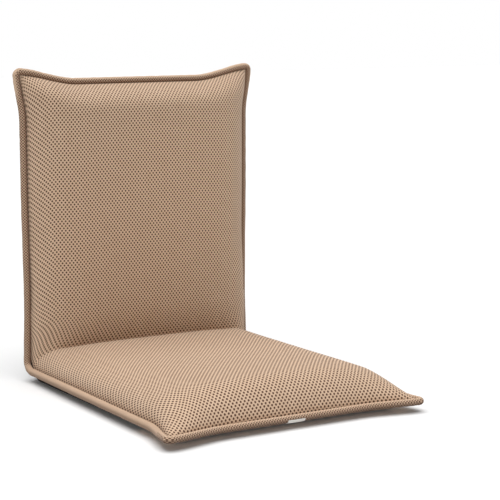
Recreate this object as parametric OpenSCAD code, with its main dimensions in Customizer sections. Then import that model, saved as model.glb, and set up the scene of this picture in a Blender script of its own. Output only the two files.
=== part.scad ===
/* [Outline] */
// Width between the centres of the side rolls at mid length
side_w = 490; // [420:5:560]
// Seat length from the fold axis to the front corners
seat_len = 570; // [480:5:660]
// Back length from the fold axis to the top corners
back_len = 550; // [460:5:660]
// How far each corner stands out sideways
ear_out = 15; // [5:1:25]
// Length of a side edge over which a corner flares out
ear_reach = 95; // [60:5:140]
// How far the end edges are drawn in between the corners
end_pull = 20; // [8:1:30]
// Width of an end edge over which it rises to a corner
end_reach = 125; // [80:5:160]

/* [Padding] */
// Height of the pad's crown above the plane of the edge rolls
crown_h = 60; // [54:1:72]
// Length of the slope down to the front edge of the seat
front_slope = 110; // [60:5:150]
// Length of the slope down to the top edge of the back
top_slope = 50; // [35:5:100]
// Depth of the underside below the plane of the edge rolls
under_depth = 18.5; // [17.5:0.5:24]
// Thickness of the fabric covers
cover_t = 1.5; // [0.8:0.1:2]
// Thickness of the non-slip sheet under the seat
base_t = 1.5; // [1:0.1:3]
// Length at the front over which the underside rises to the edge
front_rise = 75; // [50:5:110]
// Length at the top over which the rear face turns in to the edge
top_rise = 45; // [30:5:80]
// Inset of the flat underside from the side rolls at the fold
flat_inset = 16; // [12:1:30]
// Further inset of the flat underside at the front
flat_taper = 44; // [20:1:70]
// Thickness of the felt boards inside the underside
board_t = 2; // [1:0.1:2.2]

/* [Edge roll] */
// Width of the edge roll in its plane
roll_w = 12; // [8:1:14]
// Height of the edge roll across its plane
roll_h = 16; // [10:1:18]
// Radius of the rolls' centre line round a corner tip
tip_r = 8; // [8:0.5:9]

/* [Fold] */
// Height of the fold axis above the plane of the edge rolls
fold_rise = 30; // [28:1:34]
// Angle that is left between seat and back when folded shut
closed_angle = 45; // [40:1:60]

/* [Frame] */
// Outside diameter of the steel frame tube
tube_d = 19; // [16:0.5:20]
// Wall of the steel tubes
tube_wall = 1.2; // [0.8:0.1:2]
// Distance from the centre of a side roll in to the centre of its rail
rail_inset = 45; // [40:1:70]
// Radius of the frame's corner bends, on the tube's centre line
bend_r = 50; // [35:5:70]
// Distance from the fold axis to the start of the rails
rail_start = 28; // [26:1:34]
// Distance from the end of each half back to its frame's cross run
frame_inset = 90; // [84:2:130]
// Diameter of the cross tube
cross_d = 16; // [12:0.5:18]
// Distance from the fold axis to the cross tube
cross_at = 106; // [104:1:130]
// Number of elastic straps across each frame
strap_count = 6; // [4:1:8]
// Width of an elastic strap
strap_w = 38; // [25:1:42]
// Thickness of an elastic strap
strap_t = 2; // [1:0.1:2.4]

/* [Hinges] */
// Thickness of the toothed seat plates
arm_t = 3; // [2:0.1:4]
// Thickness of the cheek plates on the back
cheek_t = 2.8; // [2:0.1:3.5]
// Radius of the toothed disc
disc_r = 18; // [16:0.5:18.5]
// Radius of the hinge axle
axle_r = 5; // [3:0.25:6]
// Depth of a ratchet notch
notch_depth = 2.6; // [2.2:0.1:3]
// Angle between two ratchet notches
notch_pitch = 15; // [15:15:15]
// Half the depth of a hinge plate's leg along a rail
leg_r = 8; // [6:0.5:8.5]
// Reach of a hinge leg from the fold axis
leg_reach = 80; // [70:1:84]
// Radius of the rivets that hold the hinge legs
rivet_r = 2.5; // [1.5:0.25:3]
// Radius of the pawl's pin
pawl_pin_r = 2.2; // [1.5:0.1:2.6]

/* [Zip] */
// Distance from the fold axis to the lower edge of the zip's slot
zip_at = 40; // [36:1:60]
// Width of the zip's slot
zip_slot = 22; // [18:1:28]

/* [Label] */
// Width of the bare label at the front edge
label_w = 36; // [20:1:60]
// Visible length of the bare label
label_drop = 6; // [4:0.5:9]

/* [Hidden] */

tan_mesh = [0.78, 0.63, 0.50];
roll_tan = [0.70, 0.55, 0.43];
foam_cream = [0.93, 0.88, 0.72];
steel_grey = [0.45, 0.46, 0.48];
zinc_grey = [0.72, 0.73, 0.75];
plastic_black = [0.10, 0.10, 0.10];
felt_grey = [0.55, 0.55, 0.52];
label_white = [0.95, 0.95, 0.93];

// Gap between soft pieces that lie on each other
soft_gap = 0.3;
// Gap between a cover's edge and the edge roll
seam_gap = 0.8;
// Gap between hard pieces that touch or turn past each other
hard_gap = 0.1;
turn_gap = 0.3;
run_fit = 0.05;
overrun = 1;

// Places along and across the chair
half_w = side_w / 2;
ear_half = half_w + ear_out;
roll_level = under_depth + base_t;
axis_level = roll_level + fold_rise;
axis_y = (seat_len + roll_w / 2 - fold_rise - under_depth) / 2;
seam_in = roll_w / 2 + seam_gap;
seam_high = 3;
seam_low = 1.5;
pad_start = 36;
cover_start = 2;
base_start = 10;
wedge_run = 1 / tan(closed_angle / 2);

// Shape of the padding
side_power = 3;
side_root = 0.2;
slope_power = 2.2;
slope_root = 0.75;
rise_power = 1.5;
cells_across = 8;
cells_along = 9;
across_shares = [for (k = [-cells_across:cells_across]) sin(90 * k / cells_across)];
along_shares = [for (j = [0:cells_along]) sin(90 * j / cells_along)];

// Places through the thickness, up from the plane of the rolls
tube_r = tube_d / 2;
board_margin = 24;
board_low = -under_depth + cover_t + soft_gap;
tube_z = board_low + board_t + soft_gap + tube_r;
strap_low = tube_z + tube_r + soft_gap;
foam_low = strap_low + strap_t + soft_gap;
foam_lip = 0.9;
rail_x = half_w - rail_inset;
rail_in = rail_x - tube_r - hard_gap;

// Hinge places
arm_x = rail_in - cheek_t - turn_gap - arm_t;
cheek_in_x = arm_x - turn_gap - cheek_t;
cheek_out_x = rail_in - cheek_t;
knee_out = 26;
knee = [knee_out, tube_z];
axis_spot = [0, fold_rise];
rivet_near = 46;
rivet_far = 74;
rivet_spots = [for (y = [rivet_near, rivet_far]) [y, tube_z]];
rivet_head_r = 1.8 * rivet_r;
rivet_head_t = 1.4;
axle_head_r = 8;
axle_head_t = 2;
axle_turned_r = axle_r - run_fit;
notch_count = (180 - closed_angle) / notch_pitch + 1;
notch_w = 3;
notch_mouth = 4.4;
pawl_pin_out = 22;
pawl_pin_drop = 16;
pawl_pin_spot = [pawl_pin_out, fold_rise - pawl_pin_drop];
pawl_tip_gap = 0.4;
pawl_tip = [disc_r + pawl_tip_gap, fold_rise];
pawl_tip_w = 1.6;
pawl_boss_r = 4.4;
pawl_finger = 3;
pawl_heel = 3.2;
pawl_waist = 1.5;
pawl_inlay = 0.4;
spring_t = 0.6;
spring_len = 16;

function ease(u) = let (c = min(max(u, 0), 1)) c * c * (3 - 2 * c);
function mix(a, b, s) = a + (b - a) * s;

// Outline of one half, with y measured out from the fold axis
function side_at(y, len) = half_w + ear_out * (1 - ease((len - y) / ear_reach));
function end_at(x, len) = len - end_pull * ease((ear_half - abs(x)) / end_reach);

// Height of the padding over the plane of the rolls
function width_share(t) = pow(1 - pow(min(abs(t), 1), side_power), side_root);
function slope_share(d, slope) =
    pow(1 - pow(min(max(1 - d / slope, 0), 1), slope_power), slope_root);
function ridge_z(t) = seam_high + (crown_h - seam_high) * width_share(t);
function fold_start(t) = max(pad_start, (ridge_z(t) - fold_rise) * wedge_run + soft_gap);

function pad_point(t, v, len, slope, inset) =
    let (near = fold_start(t))
    let (far = end_at(t * (side_at(mix(pad_start, len, v), len) - seam_in), len) - seam_in - inset)
    let (y = mix(near, far, v))
    let (x = t * (side_at(y, len) - seam_in - inset))
    let (rise = width_share(t) * slope_share(far - y, slope))
    [x, y, seam_high + (crown_h - seam_high) * rise - inset];
function pad_grid(len, slope, inset) =
    [for (t = across_shares) [for (v = along_shares) pad_point(t, v, len, slope, inset)]];

// The foam's flat underside, thinned to a lip along its outer edges
function foam_floor_grid(len, slope, inset) =
    [for (k = [0:2 * cells_across]) [for (j = [0:cells_along])
        let (p = pad_point(across_shares[k], along_shares[j], len, slope, inset))
        let (lip = k == 0 || k == 2 * cells_across || j == cells_along)
        [p.x, j == 0 ? pad_start : p.y, lip ? p.z - foam_lip : foam_low]]];

// The underside of one half: flat in the middle, turned up to the rolls
function flat_half(y, flat_end, taper) = half_w - flat_inset - taper * y / flat_end;
function under_point(t, v, len, rise, taper, low, first, last_share) =
    let (edge = end_at(t * (side_at(mix(first, len, v * last_share), len) - seam_in), len) - seam_in)
    let (y = mix(first, edge, v * last_share))
    let (x = t * (side_at(y, len) - seam_in))
    let (flat_end = len - end_pull - rise)
    let (flat = flat_half(y, flat_end, taper))
    let (out = max((abs(x) - flat) / (half_w - seam_in - flat), (y - flat_end) / (edge - flat_end)))
    let (turn = pow(min(max(out, 0), 1), rise_power))
    [x, y, -seam_low - (under_depth - seam_low) * (1 - turn) + low];
function under_grid(len, rise, taper, low, first = cover_start, last_share = 1) =
    [for (t = across_shares) [for (v = along_shares)
        under_point(t, v, len, rise, taper, low, first, last_share)]];

// A closed solid between an upper and a lower grid of points
module slab(upper, lower) {
    rows = len(upper);
    cols = len(upper[0]);
    half = rows * cols;
    points = concat([for (row = upper) for (p = row) p], [for (row = lower) for (p = row) p]);
    function at(i, j) = i * cols + j;
    tops = [for (i = [0:rows - 2]) for (j = [0:cols - 2]) each [
        [at(i, j), at(i, j + 1), at(i + 1, j + 1)],
        [at(i, j), at(i + 1, j + 1), at(i + 1, j)]]];
    floors = [for (f = tops) [f[2] + half, f[1] + half, f[0] + half]];
    rim = concat([for (i = [0:rows - 1]) at(i, 0)], [for (j = [1:cols - 1]) at(rows - 1, j)],
        [for (i = [rows - 2:-1:0]) at(i, cols - 1)], [for (j = [cols - 2:-1:1]) at(0, j)]);
    walls = [for (n = [0:len(rim) - 1]) let (a = rim[n]) let (b = rim[(n + 1) % len(rim)]) each [
        [a, b, b + half], [a, b + half, a + half]]];
    polyhedron(points, concat(tops, floors, walls));
}

// A closed tube through rings of points, with flat ends
module swept_rings(rings) {
    sides = len(rings[0]);
    last = len(rings) - 1;
    skin = [for (i = [0:last - 1]) for (s = [0:sides - 1]) let (n = (s + 1) % sides) each [
        [i * sides + s, i * sides + n, (i + 1) * sides + n],
        [i * sides + s, (i + 1) * sides + n, (i + 1) * sides + s]]];
    starts = [for (s = [1:sides - 2]) [0, s + 1, s]];
    ends = [for (s = [1:sides - 2]) [last * sides, last * sides + s, last * sides + s + 1]];
    polyhedron([for (ring = rings) for (p = ring) p], concat(skin, starts, ends));
}

// The two halves stand on the fold axis: the seat flat, the back upright
module on_seat() {
    translate([0, axis_y, roll_level]) mirror([0, 1, 0]) children();
}
module on_back() {
    translate([0, axis_y, axis_level]) rotate([90, 0, 0]) translate([0, 0, -fold_rise]) children();
}
module on_axis() {
    translate([0, axis_y, axis_level]) children();
}
module on_side(side) {
    if (side > 0) children();
    if (side < 0) mirror([1, 0, 0]) children();
}
module on_both_sides() {
    on_side(1) children();
    on_side(-1) children();
}
// Lays a drawing in y and z on the plane x = at, with a thickness along x
module plate(at, thick) {
    translate([at, 0, 0]) rotate([90, 0, 90]) linear_extrude(thick) children();
}
module rod_x(from, to, r, y, z) {
    translate([from, y, z]) rotate([0, 90, 0]) cylinder(h = to - from, r = r, $fn = 48);
}

// Frame
module u_run(r, len, extra) {
    far = len - frame_inset;
    straight = far - bend_r - rail_start;
    for (side = [-1, 1]) {
        translate([side * rail_x, rail_start - extra, tube_z])
            rotate([-90, 0, 0]) cylinder(h = straight + extra, r = r, $fn = 48);
        translate([side * (rail_x - bend_r), far - bend_r, tube_z]) rotate([0, 0, side > 0 ? 0 : 90])
            rotate_extrude(angle = 90, $fn = 96) translate([bend_r, 0]) circle(r = r, $fn = 48);
    }
    rod_x(bend_r - rail_x, rail_x - bend_r, r, far, tube_z);
}
module frame_tube(len) {
    color(steel_grey) difference() {
        u_run(tube_r, len, 0);
        u_run(tube_r - tube_wall, len, overrun);
        rivet_holes(rail_in - overrun, rail_x);
    }
}
module cross_tube() {
    color(steel_grey) difference() {
        rod_x(-rail_in, rail_in, cross_d / 2, cross_at, tube_z);
        rod_x(-rail_in - overrun, rail_in + overrun, cross_d / 2 - tube_wall, cross_at, tube_z);
    }
}
module tube_plugs() {
    plug_len = 12;
    plug_head = 2;
    color(plastic_black) for (side = [-1, 1]) translate([side * rail_x, rail_start, tube_z])
        rotate([-90, 0, 0]) {
            cylinder(h = plug_len, r = tube_r - tube_wall - run_fit, $fn = 48);
            translate([0, 0, -plug_head]) cylinder(h = plug_head, r = tube_r, $fn = 48);
        }
}
module straps(len) {
    first = cross_at + cross_d;
    last = len - frame_inset - bend_r;
    step = (last - first) / (strap_count - 1);
    color(plastic_black) for (n = [0:strap_count - 1])
        translate([-rail_x - tube_r / 2, first + n * step - strap_w / 2, strap_low])
            cube([2 * rail_x + tube_r, strap_w, strap_t]);
}
module core(len) {
    side = rail_in - soft_gap;
    lower = tube_z - tube_r + soft_gap;
    thick = tube_d - 2 * soft_gap;
    near = cross_at + cross_d / 2 + soft_gap;
    far = len - frame_inset - tube_r - soft_gap;
    inner_side = cheek_in_x - rivet_head_t - 2 * soft_gap;
    corner = bend_r - tube_r;
    color(foam_cream) {
        translate([0, 0, lower]) linear_extrude(thick) {
            translate([-side, near]) square([2 * side, far - near - corner]);
            translate([corner - side, near]) square([2 * (side - corner), far - near]);
            for (x = [corner - side, side - corner]) translate([x, far - corner])
                circle(r = corner, $fn = 64);
        }
        translate([-inner_side, pad_start, lower])
            cube([2 * inner_side, cross_at - cross_d / 2 - soft_gap - pad_start, thick]);
    }
}
module foam(len, slope) {
    inset = cover_t + soft_gap;
    color(foam_cream) slab(pad_grid(len, slope, inset), foam_floor_grid(len, slope, inset));
}
module pad_cover(len, slope) {
    color(tan_mesh) slab(pad_grid(len, slope, 0), pad_grid(len, slope, cover_t));
}
module board(len, rise, taper, first) {
    flat_end = len - end_pull - rise;
    last = flat_end - board_margin;
    color(felt_grey) translate([0, 0, board_low]) linear_extrude(board_t)
        polygon([for (side = [-1, 1]) for (y = side < 0 ? [first, last] : [last, first])
            [side * (flat_half(y, flat_end, taper) - flat_inset), y]]);
}
module under_skin(len, rise, taper, first, last_share) {
    color(tan_mesh) slab(under_grid(len, rise, taper, cover_t, first, last_share),
        under_grid(len, rise, taper, 0, first, last_share));
}

// Edge roll round the three free edges of one half
side_steps = 12;
corner_steps = 3;
end_steps = 18;
roll_sides = 10;
function roll_side(len) = [for (i = [0:side_steps])
    let (y = mix(soft_gap, len - tip_r, sin(90 * i / side_steps))) [side_at(y, len), y]];
function roll_corner(len) = [for (i = [1:corner_steps]) let (a = 90 * i / (corner_steps + 1))
    [ear_half - tip_r + tip_r * cos(a), len - tip_r + tip_r * sin(a)]];
function roll_end(len) = [for (i = [0:end_steps])
    let (x = (ear_half - tip_r) * cos(180 * i / end_steps)) [x, end_at(x, len)]];
function mirrored(path) = [for (i = [len(path) - 1:-1:0]) [-path[i].x, path[i].y]];
function roll_path(len) = let (side = roll_side(len)) let (corner = roll_corner(len))
    concat(side, corner, roll_end(len), mirrored(corner), mirrored(side));
function roll_ring(p, way, along_z = [0, 0, 1]) =
    let (out = [way.y, -way.x, 0] / norm(way))
    [for (s = [0:roll_sides - 1]) let (a = -360 * s / roll_sides)
        [p.x, p.y, 0] + out * roll_w / 2 * cos(a) + along_z * roll_h / 2 * sin(a)];
module edge_roll(len) {
    path = roll_path(len);
    last = len(path) - 1;
    color(roll_tan) swept_rings([for (i = [0:last])
        roll_ring(path[i], i == 0 || i == last ? [0, i == 0 ? 1 : -1]
            : path[i + 1] - path[i - 1])]);
}

// Hinge plates, drawn in y and z of one half
module band(p, rp, q, rq) {
    way = (q - p) / norm(q - p);
    side = [way.y, -way.x];
    polygon([p + side * rp, q + side * rq, q - side * rq, p - side * rp]);
    translate(p) circle(r = rp, $fn = 72);
    translate(q) circle(r = rq, $fn = 48);
}
module leg_drawing(r) {
    band(axis_spot, r, knee, leg_r);
    band(knee, leg_r, [leg_reach, tube_z], leg_r);
}
module notches() {
    for (n = [0:notch_count - 1]) translate(axis_spot) rotate(closed_angle + n * notch_pitch)
        polygon([[disc_r - notch_depth, -notch_w / 2], [disc_r + overrun, -notch_mouth / 2],
            [disc_r + overrun, notch_mouth / 2], [disc_r - notch_depth, notch_w / 2]]);
}
module rivet_holes(from, to) {
    for (side = [-1, 1]) on_side(side) for (spot = rivet_spots)
        rod_x(from, to, rivet_r + run_fit, spot[0], spot[1]);
}
module seat_hinge_arm(side) {
    color(zinc_grey) difference() {
        on_side(side) plate(arm_x, arm_t) difference() {
            leg_drawing(disc_r);
            notches();
        }
        on_side(side) rod_x(arm_x - overrun, arm_x + arm_t + overrun, axle_r, 0, fold_rise);
        rivet_holes(arm_x - overrun, arm_x + arm_t + overrun);
    }
}
module leg_spacers(at, thick) {
    spacer_start = rivet_spots[0][0] - leg_r;
    color(zinc_grey) difference() {
        on_both_sides() translate([at, spacer_start, tube_z - leg_r])
            cube([thick, leg_reach - spacer_start, 2 * leg_r]);
        rivet_holes(at - overrun, at + thick + overrun);
    }
}
module leg_rivets(at) {
    rivet_grip = 3;
    rivet_tail = tube_wall + rivet_grip;
    color(zinc_grey) on_both_sides() for (spot = rivet_spots) {
        rod_x(at - rivet_head_t, at, rivet_head_r, spot[0], spot[1]);
        rod_x(at, rail_in + hard_gap + rivet_tail, rivet_r, spot[0], spot[1]);
    }
}
module cheek(at, side) {
    color(zinc_grey) difference() {
        on_side(side) plate(at, cheek_t) leg_drawing(disc_r - turn_gap);
        on_side(side) rod_x(at - overrun, at + cheek_t + overrun, axle_r, 0, fold_rise);
        on_side(side) rod_x(at - overrun, at + cheek_t + overrun, pawl_pin_r + run_fit,
            pawl_pin_spot[0], pawl_pin_spot[1]);
        rivet_holes(at - overrun, at + cheek_t + overrun);
    }
}
module hinge_axle(side) {
    color(zinc_grey) on_side(side) {
        rod_x(cheek_in_x - axle_head_t, cheek_in_x, axle_head_r, 0, fold_rise);
        rod_x(cheek_in_x, rail_in, axle_turned_r, 0, fold_rise);
        rod_x(rail_in, rail_in + axle_head_t, axle_head_r, 0, fold_rise);
    }
}
module pawl(side) {
    way = (pawl_tip - pawl_pin_spot) / norm(pawl_tip - pawl_pin_spot);
    across = [way.y, -way.x];
    half_tip = [0, pawl_tip_w / 2];
    color(zinc_grey) on_side(side) plate(arm_x, arm_t) difference() {
        union() {
            translate(pawl_pin_spot) circle(r = pawl_boss_r, $fn = 48);
            polygon([pawl_pin_spot + across * (pawl_boss_r - pawl_inlay),
                pawl_tip + [pawl_finger + pawl_heel, 0] + half_tip, pawl_tip + half_tip,
                pawl_tip - half_tip, pawl_tip + [pawl_finger, 0] - half_tip,
                pawl_pin_spot - across * pawl_waist]);
        }
        translate(pawl_pin_spot) circle(r = pawl_pin_r + run_fit, $fn = 48);
    }
}
module pawl_pin(side) {
    color(zinc_grey) on_side(side)
        rod_x(cheek_in_x, rail_in, pawl_pin_r, pawl_pin_spot[0], pawl_pin_spot[1]);
}
module pawl_spring(side) {
    spring_y = pawl_pin_spot[0] + pawl_boss_r + turn_gap * 2;
    color(steel_grey) on_side(side)
        translate([arm_x, spring_y, pawl_pin_spot[1] - spring_len / 4])
            cube([arm_t, spring_t, spring_len]);
}

// Zip across the rear of the back
tape_t = 1;
tape_low = -under_depth + cover_t + 2 * soft_gap + tape_t;
slider_w = 9;
slider_l = 8;
slider_t = 1.4;
slider_parked = 27;
slider_x = half_w - flat_inset - slider_parked;
slider_y = zip_at + zip_slot / 2;
slider_top = tape_low - soft_gap;
bridge_r = 0.6;
lug_t = 1.5;
pull_w = 4.4;
pull_len = 22;
pull_t = 1;
pull_eye_r = 1.6;
bridge_z = -under_depth - soft_gap - pull_t / 2;
module zip_tape() {
    tape_side = half_w - flat_inset - soft_gap;
    color(tan_mesh) translate([-tape_side, zip_at + soft_gap, tape_low])
        cube([2 * tape_side, zip_slot - 2 * soft_gap, tape_t]);
}
module zip_slider() {
    lug_h = slider_top - slider_t - bridge_z + bridge_r;
    color(zinc_grey) translate([slider_x, slider_y, 0]) {
        translate([-slider_w / 2, -slider_l / 2, slider_top - slider_t])
            cube([slider_w, slider_l, slider_t]);
        for (x = [-slider_w / 2, slider_w / 2 - lug_t])
            translate([x, -lug_t / 2, slider_top - slider_t - lug_h]) cube([lug_t, lug_t, lug_h]);
        rod_x(-slider_w / 2, slider_w / 2, bridge_r, 0, bridge_z);
    }
}
module zip_pull() {
    color(zinc_grey) translate([slider_x, slider_y, bridge_z]) difference() {
        union() {
            rod_x(-pull_w / 2, pull_w / 2, pull_eye_r, 0, 0);
            translate([-pull_w / 2, -pull_len, -pull_t / 2]) cube([pull_w, pull_len, pull_t]);
        }
        rod_x(-pull_w / 2 - overrun, pull_w / 2 + overrun, bridge_r + turn_gap, 0, 0);
    }
}

// Soft pieces round the fold, with a out along a half and b over the axis
function seat_spot(x, a, b) = [x, -a, b];
function back_spot(x, a, b) = [x, -b, a];
function crease(b) = b < 0 ? b * sqrt(0.5) : b;
function fold_line(t, x, inset) =
    let (b = ridge_z(t) - fold_rise - inset)
    let (a = fold_start(t) - soft_gap)
    let (c = crease(b))
    let (m = (a + c) / 2)
    [seat_spot(x, a, b), seat_spot(x, m, b), [x, -c, c], back_spot(x, m, b), back_spot(x, a, b)];
fold_reach = half_w - seam_in;
disc_clear = 3;
fold_clear = disc_r + disc_clear;
throat_out = 26;
throat_up = 8;
fold_throat = [throat_out, throat_up];
lip_in = 8;
lip_down = 6;
module fold_cover() {
    color(tan_mesh) on_axis() slab(
        [for (t = across_shares) fold_line(t, t * fold_reach, 0)],
        [for (t = across_shares) fold_line(t, t * (fold_reach - cover_t), cover_t)]);
}
function fold_inner(t, x) =
    let (b = ridge_z(t) - fold_rise - cover_t - soft_gap)
    let (a = fold_start(t) - soft_gap)
    let (c = min(fold_clear * sqrt(0.5), crease(b) - foam_lip))
    let (lip = [a - lip_in, b - lip_down])
    [seat_spot(x, lip.x, lip.y), seat_spot(x, fold_throat.x, fold_throat.y), [x, -c, c],
        back_spot(x, fold_throat.x, fold_throat.y), back_spot(x, lip.x, lip.y)];
module fold_foam() {
    inset = cover_t + soft_gap;
    shares = [for (k = [2:2 * cells_across - 2]) across_shares[k]];
    color(foam_cream) on_axis() slab(
        [for (t = shares) fold_line(t, t * (fold_reach - inset), inset)],
        [for (t = shares) fold_inner(t, t * (fold_reach - inset))]);
}
fold_steps = 6;
fold_turns = [for (i = [0:fold_steps]) 90 * i / fold_steps];
function under_wrap(t, r_less) =
    let (p = under_point(t, 0, seat_len, front_rise, 0, 0, 0, 1))
    let (r = fold_rise - p.z - r_less)
    let (lead = cover_start - soft_gap)
    concat([[p.x, -lead, -r]],
        [for (a = fold_turns) [p.x, r * sin(a), -r * cos(a)]], [[p.x, r, lead]]);
module fold_rear_cover() {
    color(tan_mesh) on_axis() slab(
        [for (t = across_shares) under_wrap(t, cover_t)],
        [for (t = across_shares) under_wrap(t, 0)]);
}
module fold_roll(side) {
    color(roll_tan) on_axis() translate([side * half_w, 0, 0]) swept_rings([for (a = fold_turns)
        [for (s = [0:roll_sides - 1]) let (w = 360 * s / roll_sides)
            let (r = fold_rise + roll_h / 2 * sin(w))
            [roll_w / 2 * cos(w), r * sin(a), -r * cos(a)]]]);
}

module seat_frame() { on_seat() frame_tube(seat_len); }
module seat_cross_tube() { on_seat() cross_tube(); }
module seat_tube_plugs() { on_seat() tube_plugs(); }
module seat_straps() { on_seat() straps(seat_len); }
module seat_core() { on_seat() core(seat_len); }
module seat_foam() { on_seat() foam(seat_len, front_slope); }
module seat_top_cover() { on_seat() pad_cover(seat_len, front_slope); }
module seat_board() { on_seat() board(seat_len, front_rise, flat_taper, base_start); }
module seat_under_cover() { on_seat() under_skin(seat_len, front_rise, flat_taper, cover_start, 1); }
module nonslip_base() {
    last = seat_len - end_pull - front_rise;
    color(plastic_black) on_seat() translate([0, 0, -roll_level]) linear_extrude(base_t)
        polygon([for (side = [-1, 1]) for (y = side < 0 ? [base_start, last] : [last, base_start])
            [side * flat_half(y, last, flat_taper), y]]);
}
module seat_edge_roll() { on_seat() edge_roll(seat_len); }
module label_tab() {
    label_t = 1;
    color(label_white) on_seat() translate([-label_w / 2, seat_len - end_pull - label_t / 2,
        -roll_h / 2 - soft_gap - label_drop]) cube([label_w, label_t, label_drop]);
}
module seat_arm_spacers() { on_seat() leg_spacers(arm_x + arm_t, cheek_t + turn_gap); }
module seat_arm_rivets() { on_seat() leg_rivets(arm_x); }

module back_frame() { on_back() frame_tube(back_len); }
module back_cross_tube() { on_back() cross_tube(); }
module back_tube_plugs() { on_back() tube_plugs(); }
module back_straps() { on_back() straps(back_len); }
module back_core() { on_back() core(back_len); }
module back_foam() { on_back() foam(back_len, top_slope); }
module back_front_cover() { on_back() pad_cover(back_len, top_slope); }
module back_board() { on_back() board(back_len, top_rise, 0, zip_at + zip_slot); }
module back_rear_cover() {
    on_back() {
        under_skin(back_len, top_rise, 0, zip_at + zip_slot, 1);
        under_skin(back_len, top_rise, 0, cover_start, (zip_at - cover_start) / (back_len - end_pull));
    }
}
module back_edge_roll() { on_back() edge_roll(back_len); }
module cheek_spacers() { on_back() leg_spacers(arm_x - turn_gap, arm_t + 2 * turn_gap); }
module back_arm_rivets() { on_back() leg_rivets(cheek_in_x); }

seat_frame();
seat_cross_tube();
seat_tube_plugs();
seat_straps();
seat_core();
seat_foam();
seat_top_cover();
seat_board();
seat_under_cover();
nonslip_base();
seat_edge_roll();
label_tab();
on_seat() seat_hinge_arm(-1);  // seat_hinge_arm_left
on_seat() seat_hinge_arm(1);  // seat_hinge_arm_right
seat_arm_spacers();
seat_arm_rivets();
back_frame();
back_cross_tube();
back_tube_plugs();
back_straps();
back_core();
back_foam();
back_front_cover();
back_board();
back_rear_cover();
back_edge_roll();
on_back() cheek(cheek_in_x, -1);  // cheek_inner_left
on_back() cheek(cheek_in_x, 1);  // cheek_inner_right
on_back() cheek(cheek_out_x, -1);  // cheek_outer_left
on_back() cheek(cheek_out_x, 1);  // cheek_outer_right
cheek_spacers();
back_arm_rivets();
on_back() hinge_axle(-1);  // hinge_axle_left
on_back() hinge_axle(1);  // hinge_axle_right
on_back() pawl_pin(-1);  // pawl_pin_left
on_back() pawl_pin(1);  // pawl_pin_right
on_back() pawl_spring(-1);  // pawl_spring_left
on_back() pawl_spring(1);  // pawl_spring_right
on_back() pawl(-1);  // pawl_left
on_back() pawl(1);  // pawl_right
on_back() zip_tape();
on_back() zip_slider();
on_back() zip_pull();
fold_foam();
fold_cover();
fold_rear_cover();
fold_roll(-1);  // fold_roll_left
fold_roll(1);  // fold_roll_right
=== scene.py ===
"""Folding floor chair: mesh cover, edge roll, rear cloth, foams and fittings round the steel frame."""

import math

import bmesh
import bpy
import numpy as np
from mathutils import Matrix, Vector


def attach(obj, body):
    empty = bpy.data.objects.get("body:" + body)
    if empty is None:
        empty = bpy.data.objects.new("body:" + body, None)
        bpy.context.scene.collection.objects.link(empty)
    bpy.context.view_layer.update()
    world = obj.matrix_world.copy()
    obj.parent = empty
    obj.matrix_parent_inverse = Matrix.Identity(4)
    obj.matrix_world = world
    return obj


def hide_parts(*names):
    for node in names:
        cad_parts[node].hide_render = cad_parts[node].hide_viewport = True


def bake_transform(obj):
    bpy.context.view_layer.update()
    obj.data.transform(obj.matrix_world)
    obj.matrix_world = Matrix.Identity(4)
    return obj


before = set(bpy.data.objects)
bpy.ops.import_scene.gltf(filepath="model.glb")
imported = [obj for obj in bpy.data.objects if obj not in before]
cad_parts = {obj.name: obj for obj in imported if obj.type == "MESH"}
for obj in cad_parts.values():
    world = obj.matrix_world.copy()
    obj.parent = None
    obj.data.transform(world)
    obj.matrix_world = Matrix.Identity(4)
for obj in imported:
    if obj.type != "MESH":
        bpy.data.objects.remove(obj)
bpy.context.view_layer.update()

MM = 0.001

# Outline, in millimetres, along the roll's centre
HALF_W = 245
SEAT_LEN = 570
BACK_LEN = 550
EAR_OUT = {SEAT_LEN: 15, BACK_LEN: 12}
EAR_REACH = 95
END_PULL = 20
END_REACH = 125
TIP_R = 8
WAIST = {SEAT_LEN: 0, BACK_LEN: 2}
WAIST_NEAR = 90
WAIST_END = 330
WAIST_FADE = 200

# Padding over the plane of the roll's centres. A form is a power and a root
CROWN_H = 60
SEAM_IN = 6.8
SEAM_HIGH = 3
LIP_IN = 6.3
LIP_HIGH = 0.8
FOLD_FORM = (4.5, 0.4)
SEAT_FORM = (4, 0.33)
TIP_FORM = (3, 0.6)
BACK_FORM = (6, 0.7)
FORM_RUN = 150
TIP_RUN = 90
FRONT_RUN = 70
FRONT_SLOPE_FORM = (2.6, 0.6)
FRONT_DOME = 10
DOME_START = 200
DOME_REACH = 250
TOP_RUN = 50
TOP_SLOPE_FORM = (2.2, 0.75)
CLOTH_T = 1.4

# Fold
AXIS = np.array([0, 263.75, 50.0])
FOLD_RISE = 30
FOLD_OUT = 92
VALLEY_DEEP = 14
VALLEY_START = 14
VALLEY_REACH = 43.5
VALLEY_FORM = 2.4

# Edge roll
ROLL_LEVEL = 20
ROLL_W = 12
ROLL_H = 13
ROLL_SIDES = 20
ROLL_OUTER = 0.5
ROLL_INNER = 1
SIDE_SWELL = 0.9
SIDE_LIFT = 0.8
FRONT_SAG = 1.2
TOP_TUCK = 1.2
ARC_OUT = 2
ARC_RISE = 1.2
PUCKERS = ((0.25, 13, 0), (0.15, 31, 1))

# Where a change of the roll starts, and where it's full: by height, by width, and by depth
ON_SEAT = (34, 24)
ON_BACK = (24, 34)
ON_TOP = (540, 570)
SAG_SIDE = (230, 130)
TUCK_SIDE = (235, 200)
SAG_FRONT = (-240, -270)
SWELL_FRONT = (-290, -230)
PLAIN_FRONT = (536, 524)

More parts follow.
